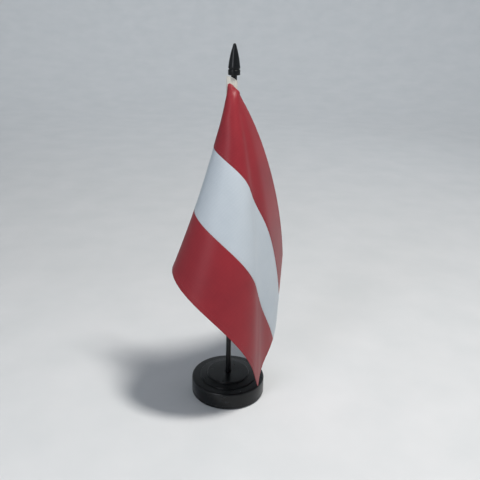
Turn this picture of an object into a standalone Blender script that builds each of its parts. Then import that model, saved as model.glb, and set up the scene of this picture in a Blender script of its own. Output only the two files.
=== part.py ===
"""A desk flag stand: a weighted round base, a slim pole, a spear finial and a small flag of three sewn bands.

The pole stands in a blind socket in the base and lifts out of it. The finial pushes onto the top of the pole.
The flag hangs from a sleeve round the pole and swings freely about it.

Metres, +Z up. The origin is on the table, under the middle of the base, on the axis of the pole.
"""

import math

import bmesh
import bpy
from mathutils import Matrix, Vector

MM = 0.001

# Base: a hollow moulding with a stepped top, a ballast ring inside, a cover plate and a foam pad below.
BASE_DIAMETER = 63 * MM
RIM_HEIGHT = 15.5 * MM
SHELL_WALL = 2.2 * MM
SHELL_LIFT = 0.9 * MM
RIM_ROUNDING = 1.6 * MM
STEP_ROUNDING = 0.5 * MM
RIM_WIDTH = 7.2 * MM
LOWER_STEP = 1.1 * MM
SLOPE_WIDTH = 6.2 * MM
SLOPE_RISE = 0.5 * MM
UPPER_STEP = 1.4 * MM

# Socket in the middle of the base, open at the top and closed below.
SOCKET_DEPTH = 12.5 * MM
SOCKET_WALL = 1.8 * MM
SOCKET_FLOOR = 1.2 * MM
SOCKET_CHAMFER = 0.5 * MM

# Layers below the socket, counted up from the table.
PAD_THICKNESS = 1.8 * MM
COVER_THICKNESS = 1.2 * MM
COVER_GROOVE = 0.5 * MM
BALLAST_THICKNESS = 6.5 * MM
BALLAST_CHAMFER = 0.6 * MM

# Pole and finial.
POLE_DIAMETER = 4.4 * MM
POLE_CHAMFER = 0.4 * MM
POLE_LENGTH = 274 * MM
FINIAL_DIAMETER = 9.0 * MM
FINIAL_LENGTH = 22.3 * MM
FINIAL_SOCKET_DEPTH = 8.5 * MM
COLLAR_HEIGHT = 3.9 * MM
NECK_DIAMETER = 7.9 * MM
NECK_HEIGHT = 0.8 * MM
TIP_RADIUS = 1.15 * MM
SPEAR_BULGE = 0.45 * MM

# Flag: three bands of cloth of one height, sewn edge to edge and to the tail of the sleeve.
FLAG_LENGTH = 210 * MM
FLAG_HEIGHT = 140 * MM
BAND_NAMES = ("upper_red_band", "white_band", "lower_red_band")
CLOTH_THICKNESS = 0.4 * MM
CLOTH_CELL = 5.2 * MM
SLEEVE_WALL = 0.35 * MM
TAIL_REACH = 2.3 * MM
TAIL_BEARING = math.radians(215)
SLEEVE_STAND_UP = 3.8 * MM
SLEEVE_SLANT = 5.0 * MM
SLEEVE_TO_FINIAL = 0.6 * MM
CLOTH_STAND_OFF = 2.4 * MM

# Clearances: between pieces that move, and between pieces that are fixed together.
RUNNING_CLEARANCE = 0.30 * MM
SEAM_GAP = 0.30 * MM
HOIST_GAP = 0.9 * MM

RED = (0.48, 0.055, 0.065, 1.0)
WHITE = (0.72, 0.75, 0.78, 1.0)
BLACK_ABS = (0.012, 0.014, 0.017, 1.0)
STEEL = (0.42, 0.42, 0.43, 1.0)
FOAM = (0.035, 0.035, 0.038, 1.0)
TAPE = (0.78, 0.77, 0.73, 1.0)

# How the cloth hangs. Cloth held at a corner falls into a cone of rays from that corner, and a degree of cloth
# swings its ray by a degree, so no length changes. The rays' directions run along a path on a ball that starts
# straight down, heading the way of FIRST_BEARING. Each fold is a stretch of that path: the degrees of cloth that
# it takes, 90 in all, and the degrees its heading turns, counter-clockwise from above.
FIRST_BEARING = math.radians(181)
FOLDS = (
    (9, 0),  # out from the pole, behind the front of the flag
    (13, 105),  # round the outer fold
    (32, 158),  # across the front
    (8, -34),  # out again towards the fly corner
    (8, 22),  # past the corner
    (20, 0),  # away to the back
)
# How far the ray along the top edge bows out of straight. The others bow less, and the one at the pole not at all.
TOP_BOW = Vector((13, -9, 0)) * MM
# Below 1, this power puts the widest place of a bow nearer the corner than the far edge.
BOW_POWER = 0.6

# Heights, radii and shares that follow from the sizes above.
WIDEST_SHARE = BOW_POWER / (1 + BOW_POWER)
WIDEST_BOW = WIDEST_SHARE**BOW_POWER * (1 - WIDEST_SHARE)
BASE_RADIUS = BASE_DIAMETER / 2
LOWER_STEP_RADIUS = BASE_RADIUS - RIM_WIDTH
UPPER_STEP_RADIUS = LOWER_STEP_RADIUS - SLOPE_WIDTH
LOWER_TOP = RIM_HEIGHT + LOWER_STEP
SLOPE_TOP = LOWER_TOP + SLOPE_RISE
BASE_TOP = SLOPE_TOP + UPPER_STEP
POLE_RADIUS = POLE_DIAMETER / 2
SOCKET_RADIUS = POLE_RADIUS + RUNNING_CLEARANCE
SOCKET_BOTTOM = BASE_TOP - SOCKET_DEPTH
POLE_BOTTOM = SOCKET_BOTTOM + RUNNING_CLEARANCE
POLE_TOP = POLE_BOTTOM + POLE_LENGTH
FINIAL_BOTTOM = POLE_TOP + RUNNING_CLEARANCE - FINIAL_SOCKET_DEPTH
SLEEVE_TOP = FINIAL_BOTTOM - SLEEVE_TO_FINIAL
FLAG_TOP = SLEEVE_TOP - SLEEVE_STAND_UP
SLEEVE_RADIUS = POLE_RADIUS + RUNNING_CLEARANCE + SLEEVE_WALL
SLEEVE_TAIL = SLEEVE_RADIUS + TAIL_REACH
CLOTH_CLEAR_RADIUS = SLEEVE_RADIUS + CLOTH_STAND_OFF
HOIST_RADIUS = SLEEVE_TAIL + HOIST_GAP
TOP_CORNER = Vector((HOIST_RADIUS * math.cos(TAIL_BEARING), HOIST_RADIUS * math.sin(TAIL_BEARING), FLAG_TOP))


def clear_scene():
    for obj in list(bpy.data.objects):
        bpy.data.objects.remove(obj)


def make_material(name, colour, roughness, metallic=0.0):
    material = bpy.data.materials.new(name)
    material.use_nodes = True
    shader = material.node_tree.nodes["Principled BSDF"]
    shader.inputs["Base Color"].default_value = colour
    shader.inputs["Roughness"].default_value = roughness
    shader.inputs["Metallic"].default_value = metallic
    return material


def add_object(name, mesh, material, collection):
    obj = bpy.data.objects.new(name, mesh)
    obj.data.materials.append(material)
    collection.objects.link(obj)
    return obj


def rounded(corners, arc_steps=4):
    """A profile's points. Each corner is (radius, height) or (radius, height, rounding), and the rounding is an arc."""
    points = []
    for i, corner in enumerate(corners):
        here = Vector(corner[:2])
        if len(corner) == 2:
            points.append(here)
            continue
        before = (Vector(corners[i - 1][:2]) - here).normalized()
        after = (Vector(corners[(i + 1) % len(corners)][:2]) - here).normalized()
        half_angle = before.angle(after) / 2
        centre = here + (before + after).normalized() * corner[2] / math.sin(half_angle)
        reach = corner[2] / math.tan(half_angle)
        start = here + before * reach - centre
        turn = start.angle_signed(here + after * reach - centre)
        for step in range(arc_steps + 1):
            angle = -turn * step / arc_steps
            points.append(centre + Matrix.Rotation(angle, 2) @ start)
    return points


def turned(name, profile, material, collection, steps, closed=False):
    """A solid of revolution about the Z axis. The profile runs down its outer side."""
    mesh = bpy.data.meshes.new(name)
    shape = bmesh.new()
    verts = [shape.verts.new((point[0], 0, point[1])) for point in profile]
    for first, second in zip(verts, verts[1:]):
        shape.edges.new((first, second))
    if closed:
        shape.edges.new((verts[-1], verts[0]))
    shape.to_mesh(mesh)
    shape.free()
    obj = add_object(name, mesh, material, collection)
    screw = obj.modifiers.new("Turn", "SCREW")
    screw.axis = "Z"
    screw.steps = steps
    screw.render_steps = steps
    screw.use_merge_vertices = True
    screw.merge_threshold = 0.00001
    screw.use_smooth_shade = True
    return obj


def base_shell(material, collection):
    """The moulded cover of the base, with its socket. One wall of even thickness follows the steps of the top."""
    under_rim = RIM_HEIGHT - SHELL_WALL
    under_lower = LOWER_TOP - SHELL_WALL
    under_slope = SLOPE_TOP - SHELL_WALL
    under_top = BASE_TOP - SHELL_WALL
    socket_outside = SOCKET_RADIUS + SOCKET_WALL
    inside = BASE_RADIUS - SHELL_WALL
    corners = [
        (0, SOCKET_BOTTOM),
        (SOCKET_RADIUS, SOCKET_BOTTOM),
        (SOCKET_RADIUS, BASE_TOP - SOCKET_CHAMFER),
        (SOCKET_RADIUS + SOCKET_CHAMFER, BASE_TOP),
        (UPPER_STEP_RADIUS, BASE_TOP, STEP_ROUNDING),
        (UPPER_STEP_RADIUS, SLOPE_TOP),
        (LOWER_STEP_RADIUS, LOWER_TOP, STEP_ROUNDING),
        (LOWER_STEP_RADIUS, RIM_HEIGHT),
        (BASE_RADIUS, RIM_HEIGHT, RIM_ROUNDING),
        (BASE_RADIUS, SHELL_LIFT, STEP_ROUNDING),
        (inside, SHELL_LIFT),
        (inside, under_rim),
        (LOWER_STEP_RADIUS - SHELL_WALL, under_rim),
        (LOWER_STEP_RADIUS - SHELL_WALL, under_lower),
        (UPPER_STEP_RADIUS - SHELL_WALL, under_slope),
        (UPPER_STEP_RADIUS - SHELL_WALL, under_top),
        (socket_outside, under_top),
        (socket_outside, SOCKET_BOTTOM - SOCKET_FLOOR),
        (0, SOCKET_BOTTOM - SOCKET_FLOOR),
    ]
    return turned("base_shell", rounded(corners), material, collection, steps=64)


def ballast_ring(material, collection):
    """A steel ring round the socket, lying on the cover plate."""
    bottom = PAD_THICKNESS + COVER_THICKNESS + 2 * SEAM_GAP
    top = bottom + BALLAST_THICKNESS
    inner = SOCKET_RADIUS + SOCKET_WALL + RUNNING_CLEARANCE
    outer = BASE_RADIUS - SHELL_WALL - RUNNING_CLEARANCE
    chamfer = BALLAST_CHAMFER
    corners = [
        (inner + chamfer, top),
        (outer - chamfer, top),
        (outer, top - chamfer),
        (outer, bottom + chamfer),
        (outer - chamfer, bottom),
        (inner + chamfer, bottom),
        (inner, bottom + chamfer),
        (inner, top - chamfer),
    ]
    return turned("ballast_ring", rounded(corners), material, collection, steps=48, closed=True)


def base_cover(material, collection):
    """The plate that closes the shell from below, with its rim chamfered."""
    bottom = PAD_THICKNESS + SEAM_GAP
    top = bottom + COVER_THICKNESS
    outer = BASE_RADIUS - SHELL_WALL - RUNNING_CLEARANCE
    corners = [
        (0, top),
        (outer - COVER_GROOVE, top),
        (outer, top - COVER_GROOVE),
        (outer, bottom),
        (0, bottom),
    ]
    return turned("base_cover", rounded(corners), material, collection, steps=48)


def foot_pad(material, collection):
    """The foam disc that the stand rests on."""
    outer = BASE_RADIUS - SHELL_WALL - RUNNING_CLEARANCE
    corners = [(0, PAD_THICKNESS), (outer, PAD_THICKNESS), (outer, 0), (0, 0)]
    return turned("foot_pad", rounded(corners), material, collection, steps=48)


def pole(material, collection):
    corners = [
        (0, POLE_TOP),
        (POLE_RADIUS - POLE_CHAMFER, POLE_TOP),
        (POLE_RADIUS, POLE_TOP - POLE_CHAMFER),
        (POLE_RADIUS, POLE_BOTTOM + POLE_CHAMFER),
        (POLE_RADIUS - POLE_CHAMFER, POLE_BOTTOM),
        (0, POLE_BOTTOM),
    ]
    return turned("pole", rounded(corners), material, collection, steps=24)


def spear_side(start, end, bulge, points=7):
    """The side of the spear from its tip down to its widest ring, bulging a little between them."""
    side = []
    for i in range(points + 1):
        share = i / points
        radius = start[0] + (end[0] - start[0]) * share + bulge * math.sin(math.pi * share)
        side.append((radius, start[1] + (end[1] - start[1]) * share))
    return side


def finial(material, collection):
    """A spear point on a collar, with a groove between them and a blind socket for the pole."""
    tip = FINIAL_BOTTOM + FINIAL_LENGTH
    radius = FINIAL_DIAMETER / 2
    neck = NECK_DIAMETER / 2
    groove_bottom = FINIAL_BOTTOM + COLLAR_HEIGHT
    groove_top = groove_bottom + NECK_HEIGHT
    bore = POLE_RADIUS + RUNNING_CLEARANCE
    steps = 4
    nose = [
        (TIP_RADIUS * math.sin(a), tip - TIP_RADIUS * (1 - math.cos(a)))
        for a in (math.radians(75) * i / steps for i in range(steps + 1))
    ]
    side = spear_side(nose[-1], (radius, groove_top + STEP_ROUNDING), SPEAR_BULGE)
    lower = rounded(
        [
            (neck, groove_top),
            (neck, groove_bottom),
            (radius, groove_bottom, STEP_ROUNDING),
            (radius, FINIAL_BOTTOM, STEP_ROUNDING),
            (bore, FINIAL_BOTTOM),
            (bore, FINIAL_BOTTOM + FINIAL_SOCKET_DEPTH),
            (0, FINIAL_BOTTOM + FINIAL_SOCKET_DEPTH),
        ],
        arc_steps=3,
    )
    profile = nose + side[1:] + lower
    return turned("finial", profile, material, collection, steps=40)


def pole_sleeve(material, collection):
    """The tube of cloth round the pole. The flag is sewn to its tail, and its top slants down from there."""
    bottom = FLAG_TOP - FLAG_HEIGHT
    inner_radius = POLE_RADIUS + RUNNING_CLEARANCE
    inner_tail = SLEEVE_TAIL - SLEEVE_WALL
    mesh = bpy.data.meshes.new("pole_sleeve")
    shape = bmesh.new()
    bmesh.ops.create_circle(shape, segments=36, radius=inner_radius)
    for vert in shape.verts:
        leftwards = max(0.0, -vert.co.x / inner_radius)
        vert.co.x -= (inner_tail - inner_radius) * leftwards**3
        vert.co.z = bottom
    made = bmesh.ops.extrude_edge_only(shape, edges=shape.edges[:])
    for vert in made["geom"]:
        if isinstance(vert, bmesh.types.BMVert):
            across = (vert.co.x + inner_tail) / (inner_tail + inner_radius)
            vert.co.z = SLEEVE_TOP - SLEEVE_SLANT * across**2
    bmesh.ops.recalc_face_normals(shape, faces=shape.faces[:])
    turn = Matrix.Rotation(TAIL_BEARING - math.pi, 3, "Z")
    bmesh.ops.rotate(shape, matrix=turn, verts=shape.verts[:])
    shape.to_mesh(mesh)
    shape.free()
    mesh.shade_smooth()
    obj = add_object("pole_sleeve", mesh, material, collection)
    wall = obj.modifiers.new("Wall", "SOLIDIFY")
    wall.thickness = SLEEVE_WALL
    wall.offset = 1
    wall.use_even_offset = True
    return obj


def ray_way(angle):
    """The direction of the cloth's ray at this angle from the pole side. Each fold swings it about a fixed axis."""
    way = Vector((0, 0, -1))
    heading = Vector((math.cos(FIRST_BEARING), math.sin(FIRST_BEARING), 0))
    remaining = angle
    for cloth, turn in FOLDS:
        taken = min(remaining, cloth)
        axis = way.cross(heading) - way * (turn / cloth)
        swing = Matrix.Rotation(math.radians(taken) * axis.length, 3, axis)
        way, heading = swing @ way, swing @ heading
        remaining -= taken
    return way


def draped(along, down):
    """Where the point of the flat cloth this far along from the pole and this far down from the top edge hangs."""
    distance = math.hypot(along, down)
    angle = math.atan2(along, down) if distance else 0.0
    share = max(down / FLAG_HEIGHT, along / FLAG_LENGTH)
    fullness = share**BOW_POWER * (1 - share) / WIDEST_BOW
    place = TOP_CORNER + ray_way(math.degrees(angle)) * distance + TOP_BOW * (math.sin(angle) * fullness)
    if along > 0 and abs(place.x) < CLOTH_CLEAR_RADIUS:
        place.y = min(place.y, -math.sqrt(CLOTH_CLEAR_RADIUS**2 - place.x**2))
    return place


def flag_band(name, top, bottom, material, collection):
    """One band of the flag: a flat grid of cloth, hung point by point and given its thickness."""
    columns = max(2, round(FLAG_LENGTH / CLOTH_CELL))
    rows = max(2, round((bottom - top) / CLOTH_CELL))
    bpy.ops.mesh.primitive_grid_add(x_subdivisions=columns, y_subdivisions=rows, size=1)
    obj = bpy.context.object
    obj.name = name
    obj.data.name = name
    for vert in obj.data.vertices:
        along = (vert.co.x + 0.5) * FLAG_LENGTH
        down = top + (0.5 - vert.co.y) * (bottom - top)
        vert.co = draped(along, down)
    obj.data.materials.append(material)
    obj.data.shade_smooth()
    for other in list(obj.users_collection):
        other.objects.unlink(obj)
    collection.objects.link(obj)
    cloth = obj.modifiers.new("Cloth", "SOLIDIFY")
    cloth.thickness = CLOTH_THICKNESS
    cloth.offset = 0
    return obj


def flag_bands(materials, collection):
    band_height = FLAG_HEIGHT / len(BAND_NAMES)
    for i, name in enumerate(BAND_NAMES):
        top = i * band_height + (SEAM_GAP / 2 if i else 0)
        bottom = (i + 1) * band_height - (SEAM_GAP / 2 if i < len(BAND_NAMES) - 1 else 0)
        flag_band(name, top, bottom, materials[i], collection)


def main():
    clear_scene()
    collection = bpy.data.collections.new("desk_flag_stand")
    bpy.context.scene.collection.children.link(collection)
    abs_plastic = make_material("black_abs", BLACK_ABS, 0.28)
    steel = make_material("steel", STEEL, 0.45, metallic=1.0)
    foam = make_material("foam", FOAM, 0.9)
    tape = make_material("white_tape", TAPE, 0.8)
    red = make_material("red_cloth", RED, 0.7)
    white = make_material("white_cloth", WHITE, 0.7)
    base_shell(abs_plastic, collection)
    ballast_ring(steel, collection)
    base_cover(abs_plastic, collection)
    foot_pad(foam, collection)
    pole(abs_plastic, collection)
    finial(abs_plastic, collection)
    pole_sleeve(tape, collection)
    flag_bands((red, white, red), collection)


main()
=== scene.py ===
# %% [markdown]
# # A desk flag on its stand
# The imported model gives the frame: a weighted round base, a slim pole, a spear finial and the place where
# the flag hangs. This lesson gives each of them its looks. It starts by loading that frame. Every size
# below either comes from it or is one of the maker's own sizes, in metres.

# %% Load the frame
import math

import bmesh
import bpy
import numpy as np
from mathutils import Matrix, Vector


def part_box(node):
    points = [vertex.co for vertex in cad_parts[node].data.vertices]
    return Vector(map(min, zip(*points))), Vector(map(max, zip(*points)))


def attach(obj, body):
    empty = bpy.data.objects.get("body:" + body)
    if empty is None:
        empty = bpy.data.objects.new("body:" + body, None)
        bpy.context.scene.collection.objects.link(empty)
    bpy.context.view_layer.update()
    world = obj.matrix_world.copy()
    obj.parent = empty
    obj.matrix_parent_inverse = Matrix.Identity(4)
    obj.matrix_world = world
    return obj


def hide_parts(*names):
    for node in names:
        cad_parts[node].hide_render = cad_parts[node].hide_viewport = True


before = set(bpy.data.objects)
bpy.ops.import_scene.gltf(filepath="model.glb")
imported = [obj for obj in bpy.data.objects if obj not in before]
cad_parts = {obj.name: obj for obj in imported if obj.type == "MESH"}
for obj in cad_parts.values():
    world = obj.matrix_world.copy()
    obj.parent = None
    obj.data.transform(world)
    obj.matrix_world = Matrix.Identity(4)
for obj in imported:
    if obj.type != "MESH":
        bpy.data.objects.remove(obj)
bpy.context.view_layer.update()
MM = 0.001

base_low, base_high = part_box("base_shell")
pole_low, pole_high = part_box("pole")
finial_low, finial_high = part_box("finial")
sleeve_low, sleeve_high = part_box("pole_sleeve")
base_radius = base_high.x
pole_radius = pole_high.x
print(f"base {2 * base_radius / MM:.0f} mm across, pole {2 * pole_radius / MM:.1f} mm")
print(f"{finial_high.z / MM:.0f} mm tall")

# %% [markdown]
# ## The camera
# The stand is seen from a little above, through a lens of medium length. The camera comes first, so that
# every later piece can be checked in the view it is meant for. A tilt about the camera's own axis is one
# more rotation on the right of the matrix, because a matrix on the right is applied first.

# %% Place the camera
CAMERA_PLACE = Vector((7.5, -467.6, 323.8)) * MM
CAMERA_DOWN = 21.2
CAMERA_TILT = 1.5
CAMERA_LENS = 46.5

camera_data = bpy.data.cameras.new("studio_camera")
camera_data.lens = CAMERA_LENS
camera_data.sensor_width = 36.0
camera_data.clip_start = 0.01
camera = bpy.data.objects.new("studio_camera", camera_data)
bpy.context.scene.collection.objects.link(camera)
aim = Matrix.Rotation(math.radians(90 - CAMERA_DOWN), 4, "X")
tilt = Matrix.Rotation(math.radians(CAMERA_TILT), 4, "Z")
camera.matrix_world = Matrix.Translation(CAMERA_PLACE) @ aim @ tilt
bpy.context.scene.camera = camera
print(f"camera {CAMERA_PLACE.length * 1000:.0f} mm from the foot of the stand")

# %% [markdown]
# ## Nodes and colours
# Every finish is a small tree of shader nodes. One function adds a node, sets its properties and its
# inputs, and links what is given as a socket. Colours are picked on a screen as sRGB, while shaders work
# in linear light, so one function turns a hex value into linear numbers.


# %% Helpers for materials
def linear(hex_colour):
    """An sRGB hex colour as linear red, green, blue and alpha."""
    channels = [int(hex_colour[i : i + 2], 16) / 255 for i in (1, 3, 5)]
    return [c / 12.92 if c <= 0.04045 else ((c + 0.055) / 1.055) ** 2.4 for c in channels] + [1.0]


def add_node(tree, kind, inputs=None, **settings):
    """Adds a node, sets its properties, and fills or links its inputs by name or by number."""
    node = tree.nodes.new(kind)
    for name, value in settings.items():
        setattr(node, name, value)
    for name, value in (inputs or {}).items():
        if isinstance(value, bpy.types.NodeSocket):
            tree.links.new(value, node.inputs[name])
        else:
            node.inputs[name].default_value = value
    return node


def new_material(name):
    """An empty material: its tree, and its output node."""
    material = bpy.data.materials.new(name)
    material.use_nodes = True
    tree = material.node_tree
    tree.nodes.clear()
    return material, tree, add_node(tree, "ShaderNodeOutputMaterial")


def ramp(tree, factor, stops):
    """A colour ramp through (position, colour) stops, read at factor."""
    node = add_node(tree, "ShaderNodeValToRGB", {0: factor})
    elements = node.color_ramp.elements
    while len(elements) < len(stops):
        elements.new(0.5)
    for element, (position, colour) in zip(elements, stops):
        element.position = position
        element.color = colour
    return node.outputs["Color"]


def per_metre(millimetres):
    """The Scale of a noise or wave whose features are this many millimetres across."""
    return 1000.0 / millimetres


# %% [markdown]
# ## Moulded plastic
# The base, the finial and the pole are black ABS. The moulded pieces come out of a polished tool, so they
# are glossy, with a slight orange peel and a few handling marks that show only where light skims them. The
# pole is drawn through a die and a little duller, with faint lines along its length. All of it is one tree
# with a few numbers changed: a fine noise for the peel, a stretched noise for the rubbed streaks, and a
# ramp that turns those streaks into changes of roughness.


# %% Black ABS
def black_abs(name, colour, worn_colour, roughness_low, roughness_high, streak_scale, peel_height):
    material, tree, output = new_material(name)
    place = add_node(tree, "ShaderNodeTexCoord").outputs["Object"]
    stretched = add_node(tree, "ShaderNodeMapping", {"Vector": place, "Scale": streak_scale})
    streaks = add_node(
        tree,
        "ShaderNodeTexNoise",
        {"Vector": stretched.outputs[0], "Scale": per_metre(6), "Detail": 5.0, "Roughness": 0.62},
    )
    dust = add_node(
        tree,
        "ShaderNodeTexNoise",
        {"Vector": place, "Scale": per_metre(1.1), "Detail": 3.0, "Roughness": 0.7},
    )
    peel = add_node(
        tree,
        "ShaderNodeTexNoise",
        {"Vector": place, "Scale": per_metre(0.9), "Detail": 2.0, "Roughness": 0.5},
    )
    roughness = add_node(
        tree,
        "ShaderNodeMapRange",
        {
            "Value": streaks.outputs["Fac"],
            "From Min": 0.32,
            "From Max": 0.72,
            "To Min": roughness_low,
            "To Max": roughness_high,
        },
    )
    specks = ramp(tree, dust.outputs["Fac"], [(0.60, linear(colour)), (0.82, linear(worn_colour))])
    bump = add_node(
        tree,
        "ShaderNodeBump",
        {"Height": peel.outputs["Fac"], "Strength": 0.25, "Distance": peel_height},
    )
    shader = add_node(
        tree,
        "ShaderNodeBsdfPrincipled",
        {
            "Base Color": specks,
            "Roughness": roughness.outputs["Result"],
            "Normal": bump.outputs["Normal"],
            "IOR": 1.53,
            "Specular IOR Level": 0.3,
        },
    )
    tree.links.new(shader.outputs["BSDF"], output.inputs["Surface"])
    return material


glossy_abs = black_abs("Black ABS, polished mould", "#06080b", "#0b0e12", 0.27, 0.31, (1, 1, 1), 0.003 * MM)
drawn_abs = black_abs("Black ABS, drawn rod", "#07080b", "#0c0e12", 0.32, 0.38, (1, 1, 0.06), 0.006 * MM)
print("plastic finishes:", glossy_abs.name, "and", drawn_abs.name)

# %% [markdown]
# ## Turned shapes
# A moulding like this base is a profile turned about the pole. Hand-placed circles would need every ring
# to be moved when a size changes. A profile with named radii is easier to read: each corner carries its
# own rounding, and one function swaps it for a short arc. The profile is then swept round by the Screw
# modifier and made a plain mesh.


# %% Turn a rounded profile into a solid
def rounded(corners, arc_steps=6):
    """A profile's points. A corner is (radius, height), with a rounding after them where an arc replaces it."""
    points = []
    for i, corner in enumerate(corners):
        here = Vector(corner[:2])
        if len(corner) == 2:
            points.append(here)
            continue
        before = (Vector(corners[i - 1][:2]) - here).normalized()
        after = (Vector(corners[(i + 1) % len(corners)][:2]) - here).normalized()
        half_angle = before.angle(after) / 2
        centre = here + (before + after).normalized() * corner[2] / math.sin(half_angle)
        reach = corner[2] / math.tan(half_angle)
        start = here + before * reach - centre
        turn = start.angle_signed(here + after * reach - centre)
        points += [centre + Matrix.Rotation(-turn * k / arc_steps, 2) @ start for k in range(arc_steps + 1)]
    return points


def plain_mesh(obj):
    """Replaces an object's modifiers with the mesh they make."""
    bpy.context.view_layer.update()
    evaluated = obj.evaluated_get(bpy.context.evaluated_depsgraph_get())
    mesh = bpy.data.meshes.new_from_object(evaluated)
    mesh.name = obj.name
    obj.modifiers.clear()
    obj.data = mesh
    return obj


def add_piece(name, mesh, material=None):
    obj = bpy.data.objects.new(name, mesh)
    bpy.context.scene.collection.objects.link(obj)
    if material:
        mesh.materials.append(material)
    return obj


def turned(name, profile, steps, material, crease=32):
    """A solid of revolution. The profile runs from the axis, down the outer side, and back to the axis."""
    mesh = bpy.data.meshes.new(name)
    mesh.from_pydata([(p[0], 0, p[1]) for p in profile], [(i, i + 1) for i in range(len(profile) - 1)], [])
    obj = add_piece(name, mesh, material)
    screw = obj.modifiers.new("Turn", "SCREW")
    screw.steps = steps
    screw.render_steps = steps
    screw.use_merge_vertices = True
    screw.merge_threshold = 0.00001
    screw.use_smooth_shade = True
    plain_mesh(obj)
    obj.data.set_sharp_from_angle(angle=math.radians(crease))
    print(f"{name}: {len(obj.data.polygons)} faces")
    return obj


# %% [markdown]
# ## The base
# The base is a hollow moulding. Its top climbs in two small steps from the rim to a raised disc, with a
# shallow slope between them, and the pole stands in a socket in the middle. A sharp step would look like a
# drawing, so each edge gets the small rounding that a mould leaves, and a fine parting line runs round the
# side where the two halves of the mould meet.

# %% Base moulding
WALL = 2.2 * MM
RIM_HEIGHT = 15.5 * MM
RIM_WIDTH = 7.2 * MM
SLOPE_WIDTH = 6.2 * MM
LOWER_STEP = 1.1 * MM
UPPER_STEP = 1.4 * MM
SOCKET_DEPTH = 12.5 * MM
SOCKET_GAP = 0.3 * MM
SOCKET_WALL = 1.8 * MM
SOCKET_FLOOR = 1.2 * MM
PARTING_HEIGHT = 3.4 * MM
PARTING_LINE = 0.12 * MM

base_top = base_high.z
base_foot = base_low.z
lower_radius = base_radius - RIM_WIDTH
upper_radius = lower_radius - SLOPE_WIDTH
lower_top = RIM_HEIGHT + LOWER_STEP
slope_top = base_top - UPPER_STEP
socket_radius = pole_radius + SOCKET_GAP
socket_bottom = base_top - SOCKET_DEPTH
base_profile = rounded(
    [
        (0, socket_bottom),
        (socket_radius, socket_bottom),
        (socket_radius, base_top - 0.5 * MM),
        (socket_radius + 0.5 * MM, base_top, 0.15 * MM),
        (upper_radius, base_top, 0.5 * MM),
        (upper_radius, slope_top, 0.25 * MM),
        (lower_radius, lower_top, 0.45 * MM),
        (lower_radius, RIM_HEIGHT, 0.25 * MM),
        (base_radius, RIM_HEIGHT, 1.6 * MM),
        (base_radius, PARTING_HEIGHT + 2 * PARTING_LINE, 0.08 * MM),
        (base_radius - PARTING_LINE, PARTING_HEIGHT + PARTING_LINE, 0.05 * MM),
        (base_radius, PARTING_HEIGHT, 0.08 * MM),
        (base_radius, base_foot, 0.5 * MM),
        (base_radius - WALL, base_foot, 0.3 * MM),
        (base_radius - WALL, RIM_HEIGHT - WALL),
        (lower_radius - WALL, RIM_HEIGHT - WALL),
        (lower_radius - WALL, lower_top - WALL),
        (upper_radius - WALL, slope_top - WALL),
        (upper_radius - WALL, base_top - WALL),
        (socket_radius + SOCKET_WALL, base_top - WALL),
        (socket_radius + SOCKET_WALL, socket_bottom - SOCKET_FLOOR),
        (0, socket_bottom - SOCKET_FLOOR),
    ]
)
base_moulding = turned("base_moulding", base_profile, 144, glossy_abs)
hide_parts("base_shell")
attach(base_moulding, "base")

# %% [markdown]
# ## The pole
# The pole is a plain drawn rod. Its only features are the bevels at its ends, which let it slip into its
# two sockets, so a short profile does the whole job.

# %% Pole
rod_bevel = 0.4 * MM
pole_profile = rounded(
    [
        (0, pole_high.z),
        (pole_radius - rod_bevel, pole_high.z),
        (pole_radius, pole_high.z - rod_bevel, 0.2 * MM),
        (pole_radius, pole_low.z + rod_bevel, 0.2 * MM),
        (pole_radius - rod_bevel, pole_low.z),
        (0, pole_low.z),
    ]
)
pole_rod = turned("pole_rod", pole_profile, 48, drawn_abs)
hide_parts("pole")
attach(pole_rod, "pole")

# %% [markdown]
# ## The finial
# The finial is a spear point that pushes onto the pole: a collar, a narrow groove that catches a bright
# line of light, and a long nose with a rounded tip. The side of the nose bulges a little, which half a
# sine wave gives.

# %% Spear finial
FINIAL_COLLAR = 3.9 * MM
FINIAL_GROOVE = 0.8 * MM
FINIAL_NECK = 0.55 * MM
TIP_RADIUS = 1.15 * MM
NOSE_BULGE = 0.45 * MM
FINIAL_SOCKET = 8.5 * MM

finial_radius = finial_high.x
collar_top = finial_low.z + FINIAL_COLLAR
groove_top = collar_top + FINIAL_GROOVE
bore_radius = pole_radius + SOCKET_GAP
tip_angles = [math.radians(75) * i / 8 for i in range(9)]
nose = [
    (TIP_RADIUS * math.sin(a), finial_high.z - TIP_RADIUS * (1 - math.cos(a))) for a in tip_angles
]
shoulder = (finial_radius, groove_top + 0.5 * MM)
for i in range(1, 17):
    share = i / 16
    bulge = NOSE_BULGE * math.sin(math.pi * share)
    radius = nose[8][0] + (shoulder[0] - nose[8][0]) * share + bulge
    nose.append((radius, nose[8][1] + (shoulder[1] - nose[8][1]) * share))
collar = rounded(
    [
        (finial_radius - 0.1 * MM, groove_top + 0.1 * MM),
        (finial_radius - FINIAL_NECK, groove_top, 0.15 * MM),
        (finial_radius - FINIAL_NECK, collar_top, 0.15 * MM),
        (finial_radius, collar_top, 0.45 * MM),
        (finial_radius, finial_low.z, 0.5 * MM),
        (bore_radius + 0.3 * MM, finial_low.z),
        (bore_radius, finial_low.z + 0.3 * MM),
        (bore_radius, finial_low.z + FINIAL_SOCKET),
        (0, finial_low.z + FINIAL_SOCKET),
    ]
)
spear_finial = turned("spear_finial", nose + collar, 80, glossy_abs)
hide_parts("finial")
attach(spear_finial, "finial")

# %% [markdown]
# ## The underside
# Three pieces of the base are seen only from below or not at all: the ballast ring, the plate that holds
# it in, and the foam pad. Their shapes are right already, so they keep their meshes and only change
# material. Foam is a crowd of tiny open cells, which a Voronoi pattern gives. The ring is plain
# zinc-plated steel.


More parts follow.
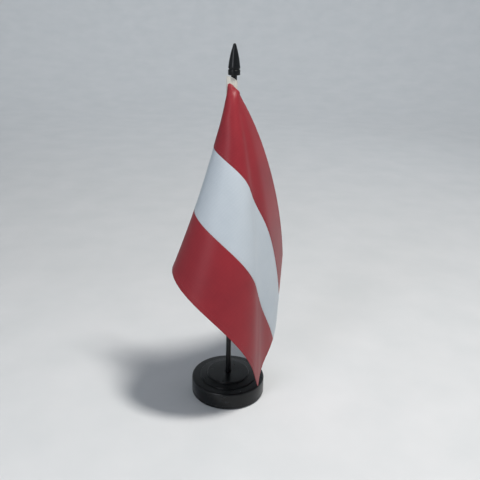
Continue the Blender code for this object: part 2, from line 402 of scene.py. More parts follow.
# %% Foam and steel
def cell_foam():
    material, tree, output = new_material("EVA foam, cut sheet")
    place = add_node(tree, "ShaderNodeTexCoord").outputs["Object"]
    cells = add_node(tree, "ShaderNodeTexVoronoi", {"Vector": place, "Scale": per_metre(0.7)})
    patches = add_node(tree, "ShaderNodeTexNoise", {"Vector": place, "Scale": per_metre(9), "Detail": 4.0})
    tone = ramp(tree, patches.outputs["Fac"], [(0.3, linear("#2a2a2c")), (0.75, linear("#3a3a3c"))])
    bump = add_node(
        tree, "ShaderNodeBump", {"Height": cells.outputs["Distance"], "Strength": 0.6, "Distance": 0.15 * MM}
    )
    shader = add_node(
        tree,
        "ShaderNodeBsdfPrincipled",
        {"Base Color": tone, "Roughness": 0.93, "Normal": bump.outputs["Normal"], "IOR": 1.48},
    )
    tree.links.new(shader.outputs["BSDF"], output.inputs["Surface"])
    return material


def plated_steel():
    material, tree, output = new_material("Steel, zinc plated")
    place = add_node(tree, "ShaderNodeTexCoord").outputs["Object"]
    spangle = add_node(tree, "ShaderNodeTexNoise", {"Vector": place, "Scale": per_metre(3), "Detail": 6.0})
    tone = ramp(tree, spangle.outputs["Fac"], [(0.3, linear("#9a9c9f")), (0.7, linear("#b9bbbd"))])
    roughness = add_node(
        tree, "ShaderNodeMapRange", {"Value": spangle.outputs["Fac"], "To Min": 0.35, "To Max": 0.6}
    )
    shader = add_node(
        tree,
        "ShaderNodeBsdfPrincipled",
        {"Base Color": tone, "Roughness": roughness.outputs["Result"], "Metallic": 1.0},
    )
    tree.links.new(shader.outputs["BSDF"], output.inputs["Surface"])
    return material


hidden_finishes = (
    ("foot_pad", cell_foam()),
    ("base_cover", glossy_abs),
    ("ballast_ring", plated_steel()),
)
for node, material in hidden_finishes:
    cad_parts[node].material_slots[0].material = material
    print(node, "is now", material.name)

# %% [markdown]
# ## How the flag hangs
# The flag is cut 210 by 140 mm and hangs from its pole side. Cloth held at a corner falls into a cone of
# rays from that corner. A degree of flat cloth between two rays is still a degree once hung, so the rays'
# directions run along a path on a ball, and the path's length is known: 90 degrees, the corner of the
# cloth. Each fold is a stretch of that path, with the cloth it takes and how far its heading turns, so six
# folds tell the shape and no length changes. A stretch that turns evenly is a rotation about one fixed
# axis. A real cloth also bows out a little along each ray, most along its top edge.

# %% The cone of folds
FLAG_LENGTH = 210 * MM
FLAG_HEIGHT = 140 * MM
TAIL_BEARING = math.radians(215)
HOIST_RADIUS = 6.05 * MM
CLOTH_CLEAR = 5.25 * MM
BAND_COUNT = 3
FIRST_BEARING = math.radians(181)
FOLDS = (
    (9, 0),  # out from the pole, behind the front of the flag
    (13, 105),  # round the outer fold
    (32, 158),  # across the front
    (8, -34),  # out again towards the fly corner
    (8, 22),  # past the corner
    (20, 0),  # away to the back
)
TOP_BOW = np.array((13, -9, 0)) * MM
BOW_POWER = 0.6
flag_top = sleeve_low.z + FLAG_HEIGHT
top_corner = np.array(
    [HOIST_RADIUS * math.cos(TAIL_BEARING), HOIST_RADIUS * math.sin(TAIL_BEARING), flag_top]
)


def ray_way(angle):
    """The direction of the ray at this angle, in degrees, from the pole side."""
    way = Vector((0, 0, -1))
    heading = Vector((math.cos(FIRST_BEARING), math.sin(FIRST_BEARING), 0))
    remaining = angle
    for cloth, turn in FOLDS:
        taken = min(remaining, cloth)
        axis = way.cross(heading) - way * (turn / cloth)
        swing = Matrix.Rotation(math.radians(taken) * axis.length, 3, axis)
        way, heading = swing @ way, swing @ heading
        remaining -= taken
    return way


def draped(along, down):
    """Where points of the flat cloth hang: along is from the pole, down is from the top edge."""
    angle = np.arctan2(along, np.maximum(down, 1e-9))
    ways = np.array([ray_way(math.degrees(a)) for a in angle.ravel()]).reshape(angle.shape + (3,))
    share = np.maximum(down / FLAG_HEIGHT, along / FLAG_LENGTH)
    widest = BOW_POWER / (1 + BOW_POWER)
    fullness = share**BOW_POWER * (1 - share) / (widest**BOW_POWER * (1 - widest))
    place = top_corner + ways * np.hypot(along, down)[..., None]
    place = place + TOP_BOW * (np.sin(angle) * fullness)[..., None]
    beside = np.sqrt(np.maximum(CLOTH_CLEAR**2 - place[..., 0] ** 2, 0))
    in_front = (along > 0) & (beside > 0)
    place[..., 1] = np.where(in_front, np.minimum(place[..., 1], -beside), place[..., 1])
    return place


CLOTH_CELL = 3 * MM
along_count = round(FLAG_LENGTH / CLOTH_CELL) + 1
down_count = round(FLAG_HEIGHT / CLOTH_CELL) + 1
along_grid, down_grid = np.meshgrid(
    np.linspace(0, FLAG_LENGTH, along_count), np.linspace(0, FLAG_HEIGHT, down_count), indexing="ij"
)
first_hang = draped(along_grid, down_grid)
print(f"cloth grid {along_count} by {down_count}, lowest point {1000 * first_hang[..., 2].min():.1f} mm")

# %% [markdown]
# ## Settling the cloth
# Where one fold ends and the next starts, the cone changes its curve at once, which stiff satin never
# does. So the shape is first eased: each point moves towards the mean of its neighbours, many times, while
# the pole side stays. Easing shortens the cloth a little, and Blender's Cloth would take the shape it
# starts from as the right one. A solver of a few lines knows the true cut instead. It holds each pair of
# neighbours at its length in the flat cloth, keeps the cloth from bending sharply by also holding points a
# few cells apart, lets gravity pull, keeps the cloth off the pole, and draws it gently to the first shape.
# Each pass corrects all pairs of one kind together, which numpy does quickly, and the result is the same
# on every run.


# %% A small cloth solver
EASING_REACH = 110 * MM
POLE_PUSH_CLEAR = CLOTH_CLEAR - 1.5 * MM
SPEED_KEPT = 0.9


def pairs_apart(shape, step_along, step_down):
    """Batches of index pairs that are this many cells apart. No point is in two pairs of one batch."""
    numbers = np.arange(shape[0] * shape[1]).reshape(shape)
    rows, columns = shape[0] - step_along, shape[1] - abs(step_down)
    first_down = max(0, -step_down)
    first = numbers[:rows, first_down : first_down + columns]
    second = numbers[step_along:, first_down + step_down : first_down + step_down + columns]
    grid_along, grid_down = np.indices(first.shape)
    batch = (grid_along // step_along if step_along else grid_down // step_down) % 2
    return [(first[batch == side], second[batch == side]) for side in (0, 1)]


def eased(place, passes):
    """Evens out sharp changes of curve, less near the top corner, where the folds start and are tightest."""
    place = place.copy()
    share = np.clip(np.hypot(along_grid, down_grid) / EASING_REACH, 0, 1)[..., None] * 0.5
    for _ in range(passes):
        inner = (place[:-2] + place[2:]) / 2
        place[1:-1] += (inner - place[1:-1]) * share[1:-1]
        inner = (place[1:, :-2] + place[1:, 2:]) / 2
        place[1:, 1:-1] += (inner - place[1:, 1:-1]) * share[1:, 1:-1]
    return place


def settle(start, target, passes, hold, gravity):
    """Hangs the cloth: the cut keeps its lengths, the pole side stays fixed, and target draws it gently."""
    shape = start.shape[:2]
    cell_along, cell_down = FLAG_LENGTH / (shape[0] - 1), FLAG_HEIGHT / (shape[1] - 1)
    kinds = [(1, 0, 1.0), (0, 1, 1.0), (1, 1, 0.7), (1, -1, 0.7), (2, 0, 0.35), (0, 2, 0.35), (4, 0, 0.25)]
    kinds += [(0, 4, 0.25), (3, 3, 0.15), (3, -3, 0.15)]
    place = start.reshape(-1, 3).copy()
    goal = target.reshape(-1, 3)
    free = np.ones(len(place))
    free[: shape[1]] = 0
    speed = np.zeros_like(place)
    batches = [
        (a, b, math.hypot(i * cell_along, j * cell_down), stiffness)
        for i, j, stiffness in kinds
        for a, b in pairs_apart(shape, i, j)
    ]
    for _ in range(passes):
        before = place.copy()
        speed[:, 2] -= gravity
        place += speed * free[:, None]
        place += (goal - place) * hold * free[:, None]
        for a, b, length, stiffness in batches:
            gap = place[b] - place[a]
            distance = np.linalg.norm(gap, axis=1)
            weight = free[a] + free[b]
            pull = stiffness * (distance - length) / np.maximum(distance * weight, 1e-9)
            place[a] += gap * (pull * free[a])[:, None]
            place[b] -= gap * (pull * free[b])[:, None]
        from_pole = np.hypot(place[:, 0], place[:, 1])
        push = np.where(free > 0, np.maximum(1, POLE_PUSH_CLEAR / from_pole), 1)
        place[:, :2] *= push[:, None]
        speed = (place - before) * SPEED_KEPT
    return place.reshape(start.shape)


soft_hang = eased(first_hang, passes=6)
hung = eased(settle(soft_hang, first_hang, passes=200, hold=0.12, gravity=0.00002), passes=2)
along_stretch = np.linalg.norm(np.diff(hung, axis=0), axis=-1) * (along_count - 1) / FLAG_LENGTH
down_stretch = np.linalg.norm(np.diff(hung, axis=1), axis=-1) * (down_count - 1) / FLAG_HEIGHT
along_change, down_change = (100 * np.abs(stretch - 1).mean() for stretch in (along_stretch, down_stretch))
print(f"lengths kept to {along_change:.2f}% along, {down_change:.2f}% down")
print("moved by up to", round(1000 * np.linalg.norm(hung - first_hang, axis=-1).max(), 1), "mm")

# %% [markdown]
# ## Reading the hung cloth anywhere
# The bands, hems and stitches all need points of the cloth that lie between the solver's points. A
# Catmull-Rom curve in both directions gives them, and it is smooth across every cell. The way the cloth
# faces there, its normal, comes from two nearby points in each direction. The cloth is also a little
# puckered where thread pulls on it, so a shallow ripple runs beside each seam and hem, and dies out within
# a few millimetres.

# %% Points and normals of the cloth
BAND_HEIGHT = FLAG_HEIGHT / BAND_COUNT
HEM_WIDTH = 4.5 * MM
PUCKER_HEIGHT = 0.045 * MM
PUCKER_PITCH = 7 * MM
PUCKER_REACH = 5 * MM


def along_curve(grid, at):
    """Catmull-Rom points at fractions of the first axis, which may run one cell past either end."""
    count = len(grid)
    padded = np.concatenate([2 * grid[:1] - grid[1:2], grid, 2 * grid[-1:] - grid[-2:-1]])
    position = at * (count - 1)
    k = np.clip(np.floor(position).astype(int), 0, count - 2)
    t = (position - k).reshape((-1,) + (1,) * (grid.ndim - 1))
    before, start, end, after = (padded[k + i] for i in range(4))
    bend = 2 * before - 5 * start + 4 * end - after
    return start + 0.5 * t * (end - before + t * (bend + t * (3 * (start - end) + after - before)))


def cloth_grid(along, down):
    """The middle of the cloth at every crossing of the given distances."""
    rows = along_curve(hung, along / FLAG_LENGTH)
    return along_curve(rows.swapaxes(0, 1), down / FLAG_HEIGHT).swapaxes(0, 1)


def facing(points, along, down):
    """Unit normals of a grid of points, towards the side of the flag that is seen first."""
    run = np.gradient(points, along, axis=0)
    drop = np.gradient(points, down, axis=1)
    normal = np.cross(run, drop)
    normal /= np.linalg.norm(normal, axis=-1, keepdims=True)
    return normal * FRONT_SIDE


FRONT_SIDE = 1.0
SEEN_CELL = (45, 24)
test_along = np.linspace(0, FLAG_LENGTH, 71)
test_down = np.linspace(0, FLAG_HEIGHT, 48)
middle = cloth_grid(test_along, test_down)
towards_camera = np.array(CAMERA_PLACE) - middle[SEEN_CELL]
if facing(middle, test_along, test_down)[SEEN_CELL] @ towards_camera < 0:
    FRONT_SIDE = -1.0


def pucker(along, down):
    """How far thread draws the cloth out of flat, beside the hems and the seams."""
    ripple = np.zeros(np.broadcast(along, down).shape)
    lines = [(along, down - i * BAND_HEIGHT) for i in range(BAND_COUNT + 1)]
    lines.append((down, along - FLAG_LENGTH))
    for number, (run, away) in enumerate(lines):
        wander = 0.7 * np.sin(run / (31 * MM) + 2.1 * number) + 0.5 * np.sin(run / (17 * MM) + number)
        wave = np.sin(2 * math.pi * run / PUCKER_PITCH + 2 * wander)
        uneven = 0.6 + 0.4 * np.sin(run / (23 * MM) + 4 * number)
        ripple += wave * np.exp(-((away / PUCKER_REACH) ** 2)) * uneven
    near_pole = np.clip(along / (12 * MM), 0, 1)
    return PUCKER_HEIGHT * ripple * near_pole


print("the flag's first side faces", "its own normal" if FRONT_SIDE > 0 else "against its own normal")

# %% [markdown]
# ## Satin cloth
# The bands are satin polyester. Long threads float on its face, so it has a soft broad shine that runs
# across the folds, and close up a fine twill of slanting lines. It is thin: light from behind glows
# through it, which a Translucent shader mixed with the main one gives. The real threads are about 0.1 mm
# apart, too fine to show, so the weave is drawn at 0.45 mm. Dye never takes quite evenly, and a cloth that
# was folded in a packet keeps faint creases, so slow noise changes the colour and the gloss a little. The
# pattern reads the cloth's own UV map, which is laid out in metres of flat cloth, so threads follow the
# folds.


# %% Woven satin
THREAD_PITCH = 0.45 * MM


def satin_cloth(name, colour, deep_colour, see_through):
    material, tree, output = new_material(name)
    cut = add_node(tree, "ShaderNodeUVMap", uv_map="cut").outputs["UV"]
    turned_cut = add_node(tree, "ShaderNodeMapping", {"Vector": cut, "Rotation": (0, 0, math.radians(63))})
    twill = add_node(
        tree,
        "ShaderNodeTexWave",
        {
            "Vector": turned_cut.outputs[0],
            "Scale": 1 / (THREAD_PITCH * 6.5),
            "Distortion": 0.8,
            "Detail": 2.0,
        },
        wave_profile="SIN",
    )
    yarn = add_node(
        tree,
        "ShaderNodeMapping",
        {"Vector": cut, "Scale": (per_metre(14), per_metre(0.5), 1)},
    )
    slubs = add_node(tree, "ShaderNodeTexNoise", {"Vector": yarn.outputs[0], "Scale": 1.0, "Detail": 3.0})
    dye = add_node(
        tree, "ShaderNodeTexNoise", {"Vector": cut, "Scale": per_metre(38), "Detail": 4.0, "Roughness": 0.55}
    )
    thread_light = add_node(
        tree,
        "ShaderNodeMath",
        {0: twill.outputs["Fac"], 1: slubs.outputs["Fac"]},
        operation="MULTIPLY",
    ).outputs[0]
    tone = add_node(
        tree, "ShaderNodeMath", {0: dye.outputs["Fac"], 1: thread_light}, operation="ADD"
    ).outputs[0]
    dyed = ramp(tree, tone, [(0.42, linear(deep_colour)), (1.0, linear(colour))])
    roughness = add_node(
        tree,
        "ShaderNodeMapRange",
        {"Value": thread_light, "From Min": 0.1, "From Max": 0.6, "To Min": 0.38, "To Max": 0.48},
    )
    bump = add_node(
        tree, "ShaderNodeBump", {"Height": thread_light, "Strength": 0.35, "Distance": 0.05 * MM}
    )
    shader = add_node(
        tree,
        "ShaderNodeBsdfPrincipled",
        {
            "Base Color": dyed,
            "Roughness": roughness.outputs["Result"],
            "Normal": bump.outputs["Normal"],
            "IOR": 1.5,
            "Specular IOR Level": 0.28,
            "Sheen Weight": 0.06,
            "Sheen Roughness": 0.4,
        },
    )
    glow = add_node(
        tree, "ShaderNodeBsdfTranslucent", {"Color": dyed, "Normal": bump.outputs["Normal"]}
    )
    mix = add_node(
        tree,
        "ShaderNodeMixShader",
        {0: see_through, 1: shader.outputs["BSDF"], 2: glow.outputs["BSDF"]},
    )
    tree.links.new(mix.outputs[0], output.inputs["Surface"])
    return material


red_satin = satin_cloth("Red satin polyester", "#a2313a", "#892933", 0.26)
white_satin = satin_cloth("White satin polyester", "#d2dae1", "#c5cfd7", 0.28)
white_tape = satin_cloth("White polyester tape", "#d9d7cf", "#c4c1b8", 0.12)
print("cloth finishes:", red_satin.name, white_satin.name, "and", white_tape.name)

# %% [markdown]
# ## Three bands sewn together
# Each band is a strip of cloth with a front and a back. A free edge is a rolled hem: the cloth is folded
# to the back and stitched down, so the back steps out where the fold ends. Where two bands meet, the upper
# one laps over the lower one by a few millimetres. A grid with even cells would blur those steps, so the
# grid's lines are set closer together where the thickness changes. Then one function gives how far the
# front and the back stand out from the middle of the cloth, and the two grids are joined round their rim
# into a closed strip.

# %% Hemmed strips of cloth
CLOTH_THICKNESS = 0.22 * MM
HEM_LAYERS = 2.2
SEAM_LAP = 3.2 * MM
GRID_STEP = 1.4 * MM
STITCH_INSET = 3.6 * MM


def stations(start, end, hem_at_start, hem_at_end):
    """Places of the grid's lines: even ones, and close ones where a hem's edge or its fold lies."""
    count = round((end - start) / GRID_STEP)
    places = list(np.linspace(start, end, count + 1))
    close = np.array([0.12, 0.35, 0.8, 3.2, 3.6, 4.0, 4.3, 4.5, 4.7, 5.0]) * MM
    clear = 5.6 * MM
    if hem_at_start:
        places = [start] + [p for p in places if p > start + clear] + list(start + close)
    if hem_at_end:
        places = [p for p in places if p < end - clear] + list(end - close) + [end]
    return np.array(sorted(places))


def hem_rise(away):
    """1 on a hem and 0 past its fold. away is the distance from the edge."""
    fold = 1 / (1 + np.exp((away - HEM_WIDTH) / (0.09 * MM)))
    return fold


def strip(name, top, bottom, hem_top, hem_bottom, lap_top, lap_bottom, material):
    """One band, from top to bottom of the flat flag, with what it laps over or under its neighbours."""
    along = stations(0, FLAG_LENGTH, False, True)
    down = stations(top - lap_top, bottom + lap_bottom, hem_top, hem_bottom)
    points = cloth_grid(along, down)
    normals = facing(points, along, down)
    far, low = np.meshgrid(along, down, indexing="ij")
    hems = hem_rise(FLAG_LENGTH - far)
    if hem_top:
        hems = np.maximum(hems, hem_rise(low - top))
    if hem_bottom:
        hems = np.maximum(hems, hem_rise(bottom - low))
    rim = np.minimum(FLAG_LENGTH - far, np.minimum(low - down[0], down[-1] - low))
    round_off = np.sqrt(np.clip(rim / (0.35 * MM), 0.04, 1))
    under_lap = 1 / (1 + np.exp((low - top) / (0.25 * MM))) if lap_top else 0 * low
    middle_shift = pucker(far, low) - under_lap * CLOTH_THICKNESS * 1.15
    thread_dent = np.exp(-(((FLAG_LENGTH - far - STITCH_INSET) / (0.5 * MM)) ** 2))
    front = middle_shift + CLOTH_THICKNESS * (0.5 + 0.25 * hems) * round_off - 0.05 * MM * thread_dent
    back = middle_shift - CLOTH_THICKNESS * (0.5 + HEM_LAYERS * hems) * round_off
    grid = np.stack([points + normals * front[..., None], points + normals * back[..., None]])
    rows, columns = points.shape[:2]
    number = np.arange(grid[..., 0].size).reshape(2, rows, columns)
    quads = []
    for side in (0, 1):
        n = number[side]
        quad = np.stack([n[:-1, :-1], n[:-1, 1:], n[1:, 1:], n[1:, :-1]], -1).reshape(-1, 4)
        quads.append(quad if side == 0 else quad[:, ::-1])
    edge = np.concatenate(
        [number[0, :, 0], number[0, -1, 1:], number[0, ::-1, -1][1:], number[0, 0, ::-1][1:-1]]
    )
    behind = edge + rows * columns
    quads.append(np.stack([edge, np.roll(edge, -1), np.roll(behind, -1), behind], -1))
    faces = np.concatenate(quads)
    mesh = bpy.data.meshes.new(name)
    mesh.from_pydata(grid.reshape(-1, 3).tolist(), [], faces.tolist())
    cut = np.stack([far, -low], -1).reshape(-1, 2)
    uv = mesh.uv_layers.new(name="cut")
    corners = np.empty(len(mesh.loops), int)
    mesh.loops.foreach_get("vertex_index", corners)
    uv.data.foreach_set("uv", cut[corners % len(cut)].ravel())
    shape = bmesh.new()
    shape.from_mesh(mesh)
    bmesh.ops.recalc_face_normals(shape, faces=shape.faces[:])
    shape.to_mesh(mesh)
    shape.free()
    mesh.shade_smooth()
    mesh.set_sharp_from_angle(angle=math.radians(60))
    obj = add_piece(name, mesh, material)
    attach(obj, "flag")
    print(f"{name}: {len(mesh.polygons)} faces")
    return obj


upper_band = strip("upper_red_cloth", 0, BAND_HEIGHT, True, False, 0, 0, red_satin)
white_cloth = strip("white_cloth", BAND_HEIGHT, 2 * BAND_HEIGHT, False, False, SEAM_LAP, 0, white_satin)
lower_band = strip("lower_red_cloth", 2 * BAND_HEIGHT, FLAG_HEIGHT, False, True, SEAM_LAP, 0, red_satin)
for band, node, slot in (
    (upper_band, "upper_red_band", "red_cloth"),
    (white_cloth, "white_band", "white_cloth"),
    (lower_band, "lower_red_band", "red_cloth"),
):
    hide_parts(node)

# %% [markdown]
# ## The sleeve
# The flag's pole side is sewn into a folded tape, which makes a sleeve round the pole with a flat tail
# where its two halves meet on the cloth. Its top is cut on a slant. Seen from above the sleeve is a circle
# drawn out into a tail, for its outer side and again for its inner side, and rings of such points at many
# heights make a tube. Soft tape never stands quite round, so the rings swell and shrink a little on the
# way down.

# %% Sleeve round the pole
TAPE_THICKNESS = 0.35 * MM
POCKET_CLEARANCE = 0.15 * MM
TAIL_END = 6.6 * MM
POCKET_END = 4.2 * MM
SLEEVE_SLANT = 5 * MM
RING_POINTS = 72
RING_COUNT = 90


def sleeve_side(radius, tail, top_radius, top_tail):
    """A grid of points on one side of the sleeve: rings from the bottom up, the tail along -X."""
    turn = np.linspace(0, 2 * math.pi, RING_POINTS, endpoint=False)
    level = np.linspace(0, 1, RING_COUNT)[:, None]
    swell = 1 + 0.02 * np.sin(level * 31 + 2 * np.sin(turn)) * np.sin(math.pi * level)
    across = radius * np.cos(turn) - (tail - radius) * np.maximum(0, -np.cos(turn)) ** 3
    share = (across + top_tail) / (top_tail + top_radius)
    top = sleeve_high.z - SLEEVE_SLANT * np.clip(share, 0, 1) ** 2
    height = sleeve_low.z + (top - sleeve_low.z) * level
    return np.stack([across * swell, radius * np.sin(turn) * swell, height], -1)


pocket_radius = pole_radius + POCKET_CLEARANCE
outer_radius = pocket_radius + TAPE_THICKNESS
sides = np.stack([
    sleeve_side(outer_radius, TAIL_END, outer_radius, TAIL_END),
    sleeve_side(pocket_radius, POCKET_END, outer_radius, TAIL_END),
])
tail_turn = np.array(Matrix.Rotation(TAIL_BEARING - math.pi, 3, "Z"))
ring_number = np.arange(2 * RING_COUNT * RING_POINTS).reshape(2, RING_COUNT, RING_POINTS)
next_number = np.roll(ring_number, -1, axis=2)
walls = np.stack([ring_number[:, :-1], next_number[:, :-1], next_number[:, 1:], ring_number[:, 1:]], -1)
rims = np.stack([ring_number[0], next_number[0], next_number[1], ring_number[1]], -1)[[0, -1]]
sleeve_faces = np.concatenate([walls.reshape(-1, 4), rims.reshape(-1, 4)])
sleeve_mesh = bpy.data.meshes.new("sleeve_tape")
sleeve_mesh.from_pydata((sides.reshape(-1, 3) @ tail_turn.T).tolist(), [], sleeve_faces.tolist())
shape = bmesh.new()
shape.from_mesh(sleeve_mesh)
bmesh.ops.recalc_face_normals(shape, faces=shape.faces[:])
shape.to_mesh(sleeve_mesh)
shape.free()
round_sleeve = np.broadcast_to(np.linspace(0, 24 * MM, RING_POINTS), sides.shape[:3])
unrolled = np.stack([round_sleeve, sides[..., 2]], -1)
sleeve_corners = np.empty(len(sleeve_mesh.loops), int)
sleeve_mesh.loops.foreach_get("vertex_index", sleeve_corners)
sleeve_mesh.uv_layers.new(name="cut").data.foreach_set("uv", unrolled.reshape(-1, 2)[sleeve_corners].ravel())
sleeve_mesh.shade_smooth()
sleeve_mesh.set_sharp_from_angle(angle=math.radians(50))
sleeve = add_piece("sleeve_tape", sleeve_mesh, white_tape)
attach(sleeve, "flag")
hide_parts("pole_sleeve")
print("sleeve:", len(sleeve_mesh.polygons), "faces")

# %% [markdown]
# ## Stitches
# Each hem is held by one row of stitches and each lapped seam by two, and each row shows on both sides. A
# stitch is the same small piece hundreds of times, which is what Geometry Nodes is for. The script places
# one point per stitch, with an attribute for the way its thread runs. The node tree puts a stretched ball
# of a few faces on every point, turns it that way, makes real mesh of them all, and gives them their
# material.

# %% Stitches by Geometry Nodes
STITCH_LENGTH = 2.2 * MM
STITCH_GAP = 0.4 * MM
THREAD_RADIUS = 0.11 * MM
SEAM_ROWS = (0.9 * MM, 2.2 * MM)


def stitch_tree():
    tree = bpy.data.node_groups.new("Stitches", "GeometryNodeTree")
    tree.interface.new_socket("Points", in_out="INPUT", socket_type="NodeSocketGeometry")
    tree.interface.new_socket("Half Length", in_out="INPUT", socket_type="NodeSocketFloat")
    tree.interface.new_socket("Thread Radius", in_out="INPUT", socket_type="NodeSocketFloat")
    tree.interface.new_socket("Thread", in_out="INPUT", socket_type="NodeSocketMaterial")
    tree.interface.new_socket("Stitches", in_out="OUTPUT", socket_type="NodeSocketGeometry")
    given = add_node(tree, "NodeGroupInput").outputs
    ball = add_node(tree, "GeometryNodeMeshUVSphere", {"Segments": 6, "Rings": 4, "Radius": 1.0})
    soft = add_node(tree, "GeometryNodeSetShadeSmooth", {"Geometry": ball.outputs["Mesh"]})
    way = add_node(tree, "GeometryNodeInputNamedAttribute", {"Name": "thread_way"}, data_type="FLOAT_VECTOR")
    turn = add_node(tree, "FunctionNodeAlignRotationToVector", {"Vector": way.outputs["Attribute"]}, axis="Z")
    radius = given["Thread Radius"]
    size = add_node(tree, "ShaderNodeCombineXYZ", {"X": radius, "Y": radius, "Z": given["Half Length"]})
    placed = add_node(
        tree,
        "GeometryNodeInstanceOnPoints",
        {
            "Points": given["Points"],
            "Instance": soft.outputs["Geometry"],
            "Rotation": turn.outputs["Rotation"],
            "Scale": size.outputs["Vector"],
        },
    )
    real = add_node(tree, "GeometryNodeRealizeInstances", {"Geometry": placed.outputs["Instances"]})
    made = add_node(
        tree, "GeometryNodeSetMaterial", {"Geometry": real.outputs["Geometry"], "Material": given["Thread"]}
    )
    end = add_node(tree, "NodeGroupOutput")
    tree.links.new(made.outputs["Geometry"], end.inputs["Stitches"])
    return tree


def stitch_row(runs_along, fixed, start, end, front_lift, back_lift):
    """Points and thread directions of one row, on the front and on the back of the cloth."""
    pitch = STITCH_LENGTH + STITCH_GAP
    places = np.arange(start + pitch / 2, end - pitch / 2, pitch)
    near = fixed + np.array([-0.3, 0, 0.3]) * MM
    along, down = (places, near) if runs_along else (near, places)
    points = cloth_grid(along, down)
    normals = facing(points, along, down)
    ways = np.gradient(points, places, axis=0 if runs_along else 1)
    middle_of = (slice(None), 1) if runs_along else (1, slice(None))
    row, out, way = points[middle_of], normals[middle_of], ways[middle_of]
    ripple = pucker(*np.meshgrid(along, down, indexing="ij"))[middle_of][:, None]
    both_faces = np.concatenate([row + out * (ripple + front_lift), row + out * (ripple - back_lift)])
    return both_faces, np.tile(way, (2, 1))


def stitches(name, rows, thread):
    points = np.concatenate([row[0] for row in rows])
    ways = np.concatenate([row[1] for row in rows])
    mesh = bpy.data.meshes.new(name)
    mesh.from_pydata(points.tolist(), [], [])
    mesh.attributes.new("thread_way", "FLOAT_VECTOR", "POINT").data.foreach_set("vector", ways.ravel())
    obj = add_piece(name, mesh)
    modifier = obj.modifiers.new("Stitches", "NODES")
    modifier.node_group = stitching
    settings = {"Half Length": STITCH_LENGTH / 2, "Thread Radius": THREAD_RADIUS, "Thread": thread}
    for setting, value in settings.items():
        modifier[stitching.interface.items_tree[setting].identifier] = value
    plain_mesh(obj)
    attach(obj, "flag")
    print(f"{name}: {len(points)} stitches")
    return obj


def thread_finish(name, colour):
    material, tree, output = new_material(name)
    place = add_node(tree, "ShaderNodeTexCoord").outputs["Object"]
    fibre = add_node(tree, "ShaderNodeTexNoise", {"Vector": place, "Scale": per_metre(0.4), "Detail": 2.0})
    dark = [0.75 * channel for channel in linear(colour)[:3]] + [1.0]
    tone = ramp(tree, fibre.outputs["Fac"], [(0.3, dark), (0.7, linear(colour))])
    shader = add_node(tree, "ShaderNodeBsdfPrincipled", {"Base Color": tone, "Roughness": 0.5})
    tree.links.new(shader.outputs["BSDF"], output.inputs["Surface"])
    return material


stitching = stitch_tree()
red_thread = thread_finish("Red polyester thread", "#9c2f37")
white_thread = thread_finish("White polyester thread", "#d2dae0")
HEM_LIFTS = (CLOTH_THICKNESS * 0.75, CLOTH_THICKNESS * (0.5 + HEM_LAYERS))
SEAM_LIFTS = (CLOTH_THICKNESS * 0.5, CLOTH_THICKNESS * 1.65)
hem_start, hem_end = 2 * MM, FLAG_LENGTH - STITCH_INSET
fly_row = FLAG_LENGTH - STITCH_INSET
upper_rows = [stitch_row(True, STITCH_INSET, hem_start, hem_end, *HEM_LIFTS)]
upper_rows += [stitch_row(True, BAND_HEIGHT - up, hem_start, hem_end, *SEAM_LIFTS) for up in SEAM_ROWS]
upper_rows.append(stitch_row(False, fly_row, STITCH_INSET, BAND_HEIGHT, *HEM_LIFTS))
white_rows = [stitch_row(True, 2 * BAND_HEIGHT - up, hem_start, hem_end, *SEAM_LIFTS) for up in SEAM_ROWS]
white_rows.append(stitch_row(False, fly_row, BAND_HEIGHT, 2 * BAND_HEIGHT, *HEM_LIFTS))
lower_rows = [stitch_row(True, FLAG_HEIGHT - STITCH_INSET, hem_start, hem_end, *HEM_LIFTS)]
lower_rows.append(stitch_row(False, fly_row, 2 * BAND_HEIGHT, FLAG_HEIGHT - STITCH_INSET, *HEM_LIFTS))
upper_stitches = stitches("upper_red_stitches", upper_rows, red_thread)
white_stitches = stitches("white_stitches", white_rows, white_thread)
lower_stitches = stitches("lower_red_stitches", lower_rows, red_thread)

# %% [markdown]
# ## The studio
# The stage is a plain pale floor that curves up all round into a wall, so no horizon shows from any side.
# A small light high on the right throws the shadow to the left. A larger dim one at the front left brings
# up the cloth's sheen and the edges of the black plastic. Three more face outwards and light the wall, and
# a faint one behind the flag draws its edge.


# %% Floor and lights
COVE_START = 1.4
COVE_RADIUS = 1.8
COVE_TOP = 3.0
FLOOR_RINGS = 12
COVE_RINGS = 24
WALL_LAMP = (0.9, 1.7)
WALL_AIM = (3.0, 0.9)


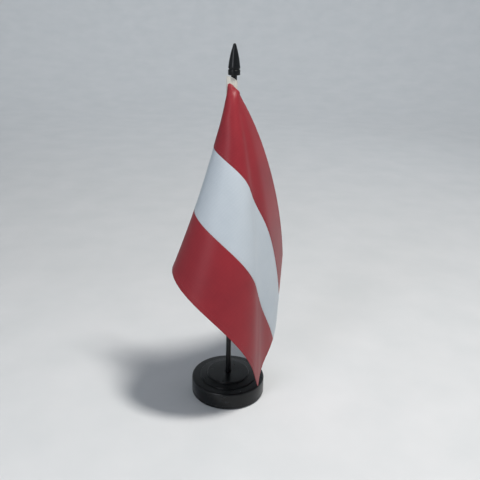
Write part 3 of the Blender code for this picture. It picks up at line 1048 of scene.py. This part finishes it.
def stage_floor():
    material, tree, output = new_material("Studio floor, matt paint")
    place = add_node(tree, "ShaderNodeTexCoord").outputs["Object"]
    mottle = add_node(tree, "ShaderNodeTexNoise", {"Vector": place, "Scale": per_metre(60), "Detail": 3.0})
    tone = ramp(tree, mottle.outputs["Fac"], [(0.3, linear("#ccd0d3")), (0.7, linear("#d2d5d8"))])
    shader = add_node(tree, "ShaderNodeBsdfPrincipled", {"Base Color": tone, "Roughness": 0.85})
    tree.links.new(shader.outputs["BSDF"], output.inputs["Surface"])
    across = [(0, 0)] + [(COVE_START * i / FLOOR_RINGS, 0) for i in range(1, FLOOR_RINGS)]
    for i in range(COVE_RINGS + 1):
        bend = math.radians(90 * i / COVE_RINGS)
        across.append((COVE_START + COVE_RADIUS * math.sin(bend), COVE_RADIUS * (1 - math.cos(bend))))
    across.append((COVE_START + COVE_RADIUS, COVE_TOP))
    floor = turned("studio_floor", across, 96, material)


def soft_light(name, place, towards, width, height, watts, colour):
    data = bpy.data.lights.new(name, "AREA")
    data.shape = "RECTANGLE"
    data.size = width
    data.size_y = height
    data.energy = watts
    data.color = linear(colour)[:3]
    light = bpy.data.objects.new(name, data)
    bpy.context.scene.collection.objects.link(light)
    way = Vector(towards) - Vector(place)
    light.matrix_world = Matrix.Translation(place) @ way.to_track_quat("-Z", "Y").to_matrix().to_4x4()


stage_floor()
flag_middle = (0.0, 0.0, 0.14)
soft_light("key_light", (0.36, -0.2, 1.15), flag_middle, 0.14, 0.22, 13.0, "#fffaf4")
soft_light("fill_light", (-0.62, -1.0, 0.7), flag_middle, 0.4, 0.9, 4.9, "#f4f8ff")
for bearing in (90, 210, 330):
    outwards = Vector((math.cos(math.radians(bearing)), math.sin(math.radians(bearing)), 0))
    lamp_place, wall_place = outwards * WALL_LAMP[0], outwards * WALL_AIM[0]
    lamp_place.z, wall_place.z = WALL_LAMP[1], WALL_AIM[1]
    soft_light(f"wall_light_{bearing}", lamp_place, wall_place, 2.0, 0.6, 22.0, "#f8fafc")
soft_light("rim_light", (0.5, 0.9, 0.6), flag_middle, 0.5, 0.5, 0.3, "#f4f8ff")
world = bpy.data.worlds.new("studio_world")
world.use_nodes = True
world.node_tree.nodes["Background"].inputs["Color"].default_value = linear("#dfe5ea")
world.node_tree.nodes["Background"].inputs["Strength"].default_value = 0.16
bpy.context.scene.world = world
bpy.context.scene.view_settings.view_transform = "Standard"
